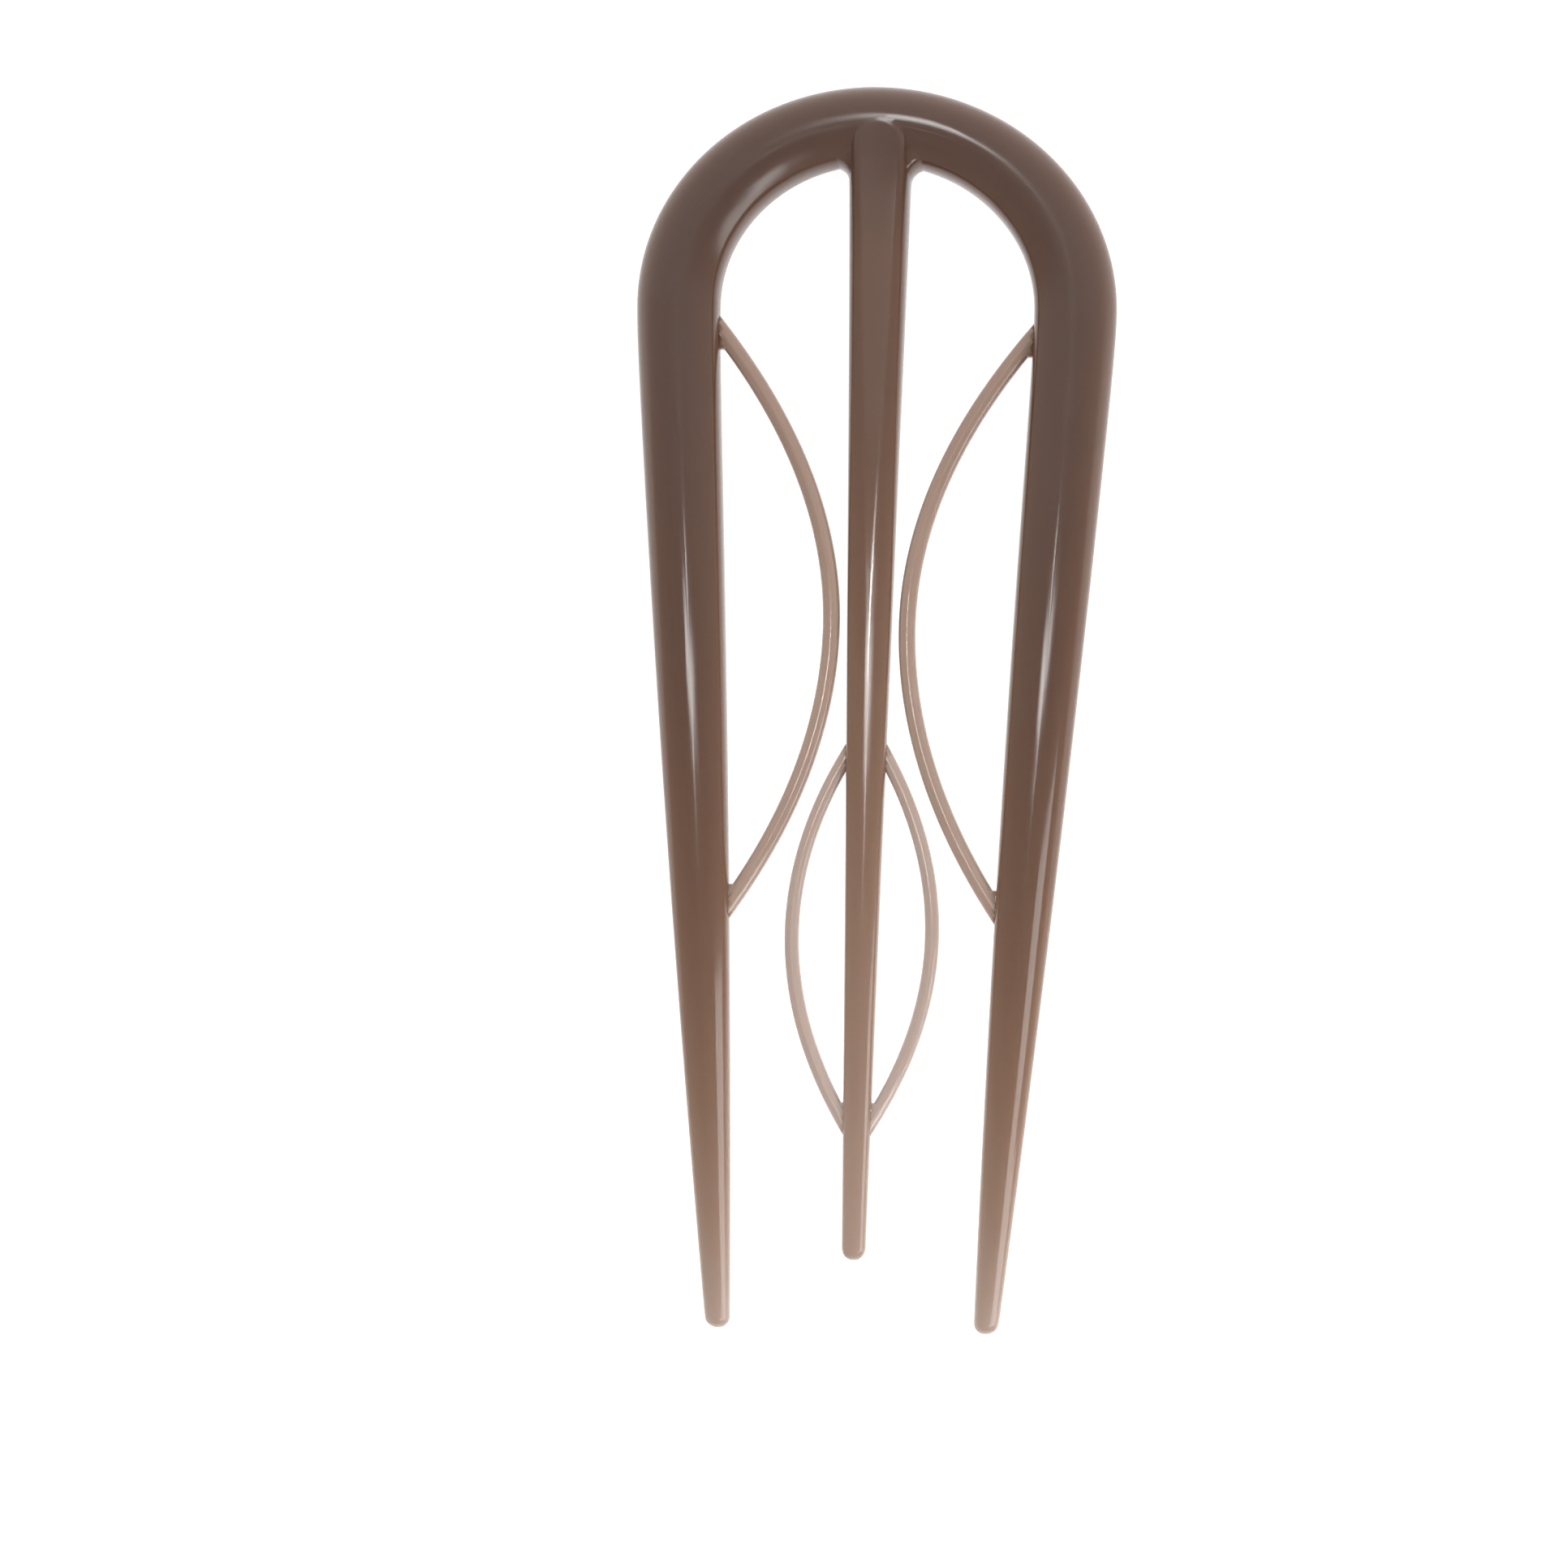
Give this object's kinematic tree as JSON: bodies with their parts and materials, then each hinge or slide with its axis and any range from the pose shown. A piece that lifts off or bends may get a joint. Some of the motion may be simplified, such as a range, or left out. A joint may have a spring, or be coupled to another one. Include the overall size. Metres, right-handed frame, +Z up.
{
  "type": "u-shaped hairpin",
  "caption": "Moulded hair fork with a thick arch, tapered legs that lean inwards, a middle prong, bowed ribs and a leaf-shaped loop.",
  "frame": {"origin": "middle of the pin's length and width, on its flat back", "axes": "+X across the pin, +Y along it towards the arch, +Z up from the back to the rounded front"},
  "size_m": [0.0384, 0.1, 0.005],
  "materials": {
    "plastic": "glossy translucent brown, paler where it is thin"
  },
  "bodies": {
    "root": {"hairpin": "plastic"}
  },
  "joints": []
}
